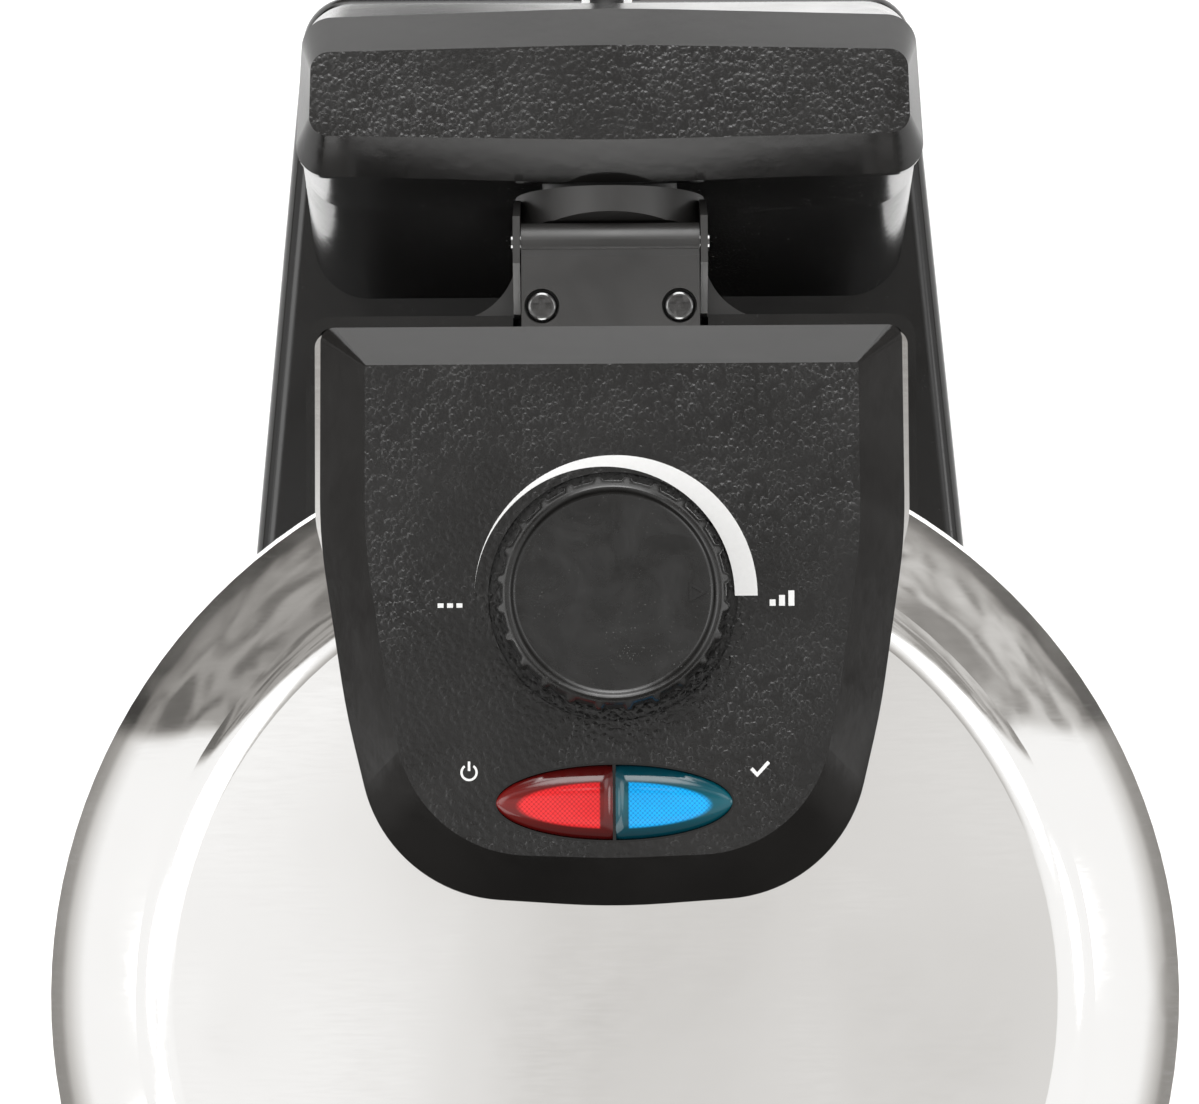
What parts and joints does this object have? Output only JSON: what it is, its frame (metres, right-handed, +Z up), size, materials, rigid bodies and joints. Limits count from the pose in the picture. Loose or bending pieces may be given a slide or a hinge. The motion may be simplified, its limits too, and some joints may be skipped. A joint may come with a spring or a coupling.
{
  "type": "donut maker",
  "caption": "Tabletop rotating donut maker: round steel head with ring moulds, hinged lid with control knob and lamps, turning on a rear tower over a base with drip tray",
  "frame": {"origin": "middle of the footprint of base and head, without the cord, on the surface it stands on", "axes": "+Z up, the handle towards -Y, the tower towards +Y"},
  "size_m": [0.236, 0.5705, 0.2146],
  "materials": {
    "base_plastic": "fine satin moulded black",
    "grained_plastic": "leather-grained moulded black",
    "knob_plastic": "satin black with a ribbed grip",
    "tray_plastic": "satin moulded black",
    "polished_steel": "polished stainless sheet",
    "painted_cast": "black powder-coated casting",
    "steel": "zinc-plated steel",
    "bush_bronze": "sintered bronze",
    "nonstick": "cast plate with a dark non-stick coat",
    "element_steel": "sheathed heating element, heat-tinted",
    "shield_sheet": "thin reflective sheet",
    "red_lens": "clear red lens",
    "blue_lens": "clear blue lens",
    "lamp_glass": "small neon lamp",
    "ceramic_white": "white insulating body",
    "rubber_black": "soft black rubber or PVC",
    "tie_black": "twist tie"
  },
  "bodies": {
    "base": {"base_shell": "base_plastic", "base_bottom_plate": "base_plastic", "rubber_feet": "rubber_black", "base_screws": "steel", "tower_shell": "base_plastic", "tower_cap": "grained_plastic", "bearing_frame": "steel", "front_bearing_bush": "bush_bronze", "rear_bearing_bush": "bush_bronze", "cord_gland": "rubber_black", "cord_clamp": "base_plastic", "inner_cord": "rubber_black", "terminal_block": "ceramic_white", "cord_tube": "rubber_black", "cord_coil": "rubber_black", "cord_tie": "tie_black", "mains_plug": "rubber_black"},
    "head": {"neck_casting": "painted_cast", "neck_screws": "steel", "hinge_pin": "steel", "stop_collar": "steel", "retaining_ring": "steel", "lower_hinge_housing": "base_plastic", "lower_shell": "polished_steel", "lower_ring": "base_plastic", "lower_plate": "nonstick", "lower_plate_screws": "steel", "lower_element": "element_steel", "lower_heat_shield": "shield_sheet", "handle_mount": "base_plastic", "handle_pin": "steel"},
    "lid": {"upper_shell": "polished_steel", "upper_ring": "base_plastic", "upper_plate": "nonstick", "upper_plate_screws": "steel", "upper_element": "element_steel", "upper_heat_shield": "shield_sheet", "lid_hinge_bracket": "base_plastic", "lid_hinge_arm": "painted_cast", "arm_screws": "steel", "control_panel": "grained_plastic", "power_lens": "red_lens", "ready_lens": "blue_lens", "power_lamp": "lamp_glass", "ready_lamp": "lamp_glass", "lamp_holder": "base_plastic", "thermostat": "ceramic_white", "thermal_fuse": "ceramic_white", "lid_grip": "base_plastic", "latch_pin": "steel"},
    "knob": {"control_knob": "knob_plastic", "thermostat_shaft": "steel"},
    "latch": {"lid_latch": "base_plastic"},
    "handle": {"handle_core": "steel", "handle_upper_grip": "base_plastic", "handle_lower_grip": "base_plastic", "handle_screws": "steel"},
    "tray": {"drip_tray": "tray_plastic"}
  },
  "joints": [
    {"name": "head_flip", "type": "hinge", "parent": "base", "child": "head", "pos_m": [0, 0.155, 0.145], "axis": [0, 1, 0], "range_deg": [-180, 0]},
    {"name": "lid_open", "type": "hinge", "parent": "head", "child": "lid", "pos_m": [0, 0.133, 0.161], "axis": [-1, 0, 0], "range_deg": [0, 90]},
    {"name": "knob_turn", "type": "hinge", "parent": "lid", "child": "knob", "pos_m": [0, 0.056, 0.2], "axis": [0, 0, 1], "range_deg": [0, 180]},
    {"name": "latch_lock", "type": "hinge", "parent": "lid", "child": "latch", "pos_m": [0, -0.1565, 0.156], "axis": [1, 0, 0], "range_deg": [0, 25]},
    {"name": "handle_fold", "type": "hinge", "parent": "head", "child": "handle", "pos_m": [0, -0.155, 0.121], "axis": [1, 0, 0], "range_deg": [0, 90]},
    {"name": "tray_slide", "type": "slide", "parent": "base", "child": "tray", "axis": [0, -1, 0], "range_m": [0, 0.17]}
  ]
}
